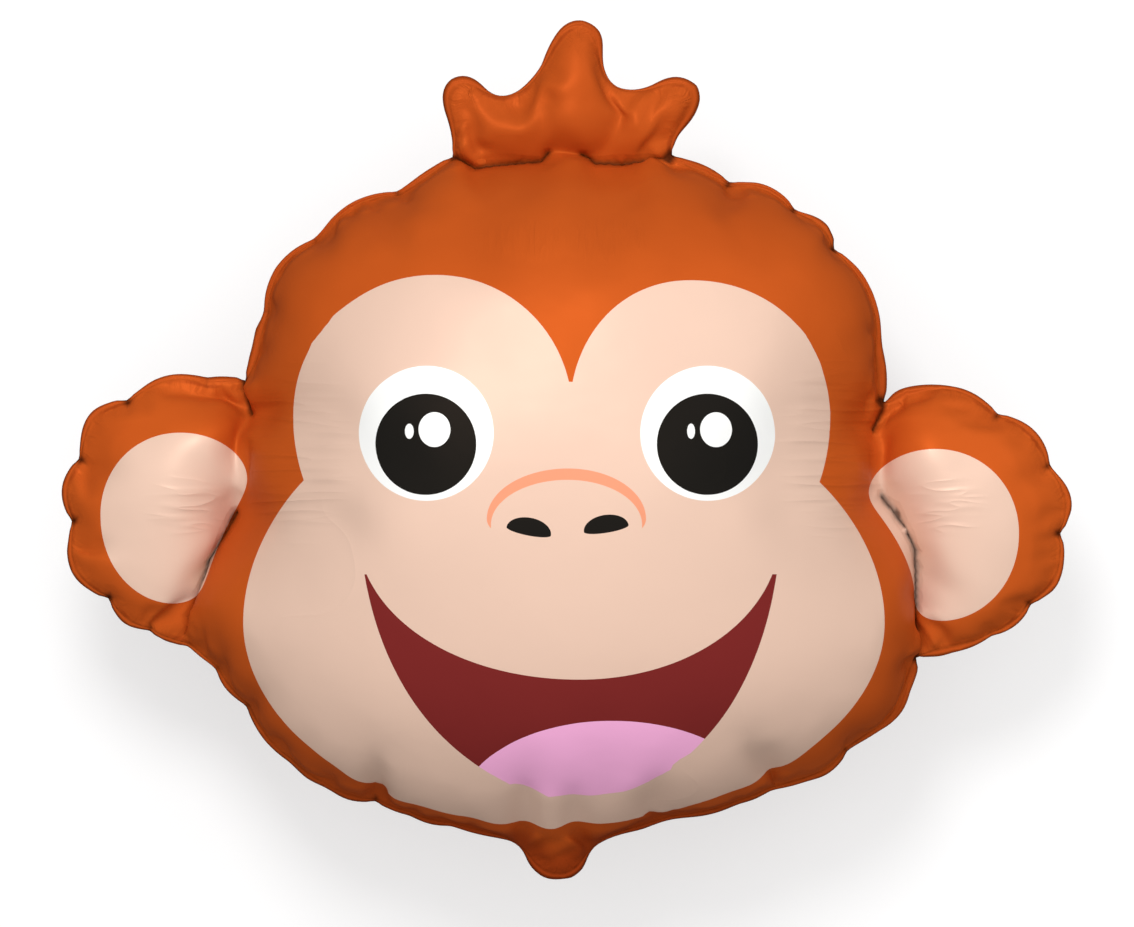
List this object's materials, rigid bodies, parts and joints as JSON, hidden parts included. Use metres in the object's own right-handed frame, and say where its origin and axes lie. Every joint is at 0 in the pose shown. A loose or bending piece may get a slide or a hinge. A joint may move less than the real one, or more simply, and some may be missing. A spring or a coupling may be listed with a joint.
{
  "type": "monkey-head foil balloon",
  "caption": "Inflated foil balloon in the shape of a smiling monkey's head, with ears, a tuft of hair, a heat-sealed seam and a short flat filling tail, lying face up.",
  "frame": {"origin": "on the floor, under the centre of the balloon's bounding box", "axes": "+Z out of the printed face, +Y towards the tuft of hair, +X towards the ear on the viewer's right"},
  "size_m": [0.6184, 0.5258, 0.247],
  "materials": {
    "printed_foil": "satin printed metallised film"
  },
  "bodies": {
    "root": {"balloon": "printed_foil"}
  },
  "joints": []
}
